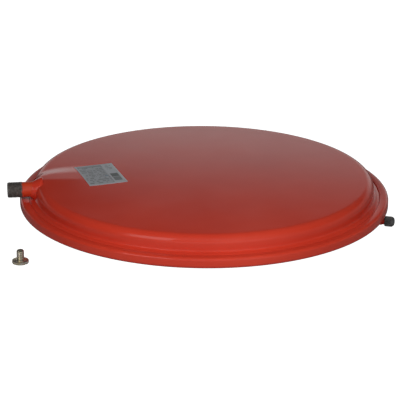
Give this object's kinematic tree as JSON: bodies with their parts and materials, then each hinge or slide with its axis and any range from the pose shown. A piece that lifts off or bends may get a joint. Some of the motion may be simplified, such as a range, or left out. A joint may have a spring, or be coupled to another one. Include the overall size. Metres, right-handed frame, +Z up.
{
  "type": "expansion vessel",
  "caption": "Flat round steel heating expansion vessel with a seamed rim, radial threaded water nipple, radial capped gas valve and a loose slotted fixing screw.",
  "frame": {"origin": "centre of the flat base face of the lower shell", "axes": "+Z up through the vessel's centre, -X along the water nipple"},
  "size_m": [0.4034, 0.387, 0.0521],
  "materials": {
    "red_enamel": "semi-gloss enamel",
    "red_enamel_stem": "semi-gloss enamel over steel",
    "diaphragm_rubber": "smooth moulded",
    "black_steel": "blackened, bare thread",
    "label_foil": "satin printed foil",
    "core_brass": "turned",
    "spring_steel": "drawn wire",
    "seal_rubber": "matt",
    "cap_plastic": "moulded, ribbed",
    "zinc_steel": "yellow-tinted zinc plate"
  },
  "bodies": {
    "vessel": {"upper_shell": "red_enamel", "lower_shell": "red_enamel", "nipple_collar": "red_enamel", "water_nipple": "black_steel", "rating_label": "label_foil", "valve_stem": "red_enamel_stem", "core_nut": "core_brass", "core_barrel": "core_brass", "core_gasket": "seal_rubber"},
    "membrane": {"diaphragm": "diaphragm_rubber"},
    "pin": {"core_pin": "core_brass", "core_seal": "seal_rubber", "core_spring": "spring_steel"},
    "cap_washer": {"cap_seal": "seal_rubber"},
    "cap": {"valve_cap": "cap_plastic"},
    "screw": {"fixing_screw": "zinc_steel"}
  },
  "joints": [
    {"name": "diaphragm_stroke", "type": "slide", "parent": "vessel", "child": "membrane", "axis": [0, 0, 1], "range_m": [-0.038, 0], "stiffness_N_per_m": 800, "springref_m": 0.012, "deforming": ["diaphragm"]},
    {"name": "core_pin_press", "type": "slide", "parent": "vessel", "child": "pin", "axis": [-0.9317, 0.3633, 0], "range_m": [0, 0.0012], "stiffness_N_per_m": 300, "springref_m": -0.001, "deforming": ["core_spring"]},
    {"name": "cap_lift", "type": "slide", "parent": "vessel", "child": "cap_washer", "axis": [0.9317, -0.3633, 0], "range_m": [0, 0.00793]},
    {"name": "cap_turn", "type": "hinge", "parent": "cap_washer", "child": "cap", "pos_m": [0.18261, -0.0712, 0.013], "axis": [0.9317, -0.3633, 0], "range_deg": [0, 3600]},
    {"name": "fixing_screw_lift", "type": "slide", "parent": "vessel", "child": "screw", "axis": [0, 0, 1], "range_m": [0, 0.03]}
  ],
  "couplings": [
    {"joint": "cap_turn", "follows": "cap_lift", "rad_per_m": 7915.8}
  ]
}
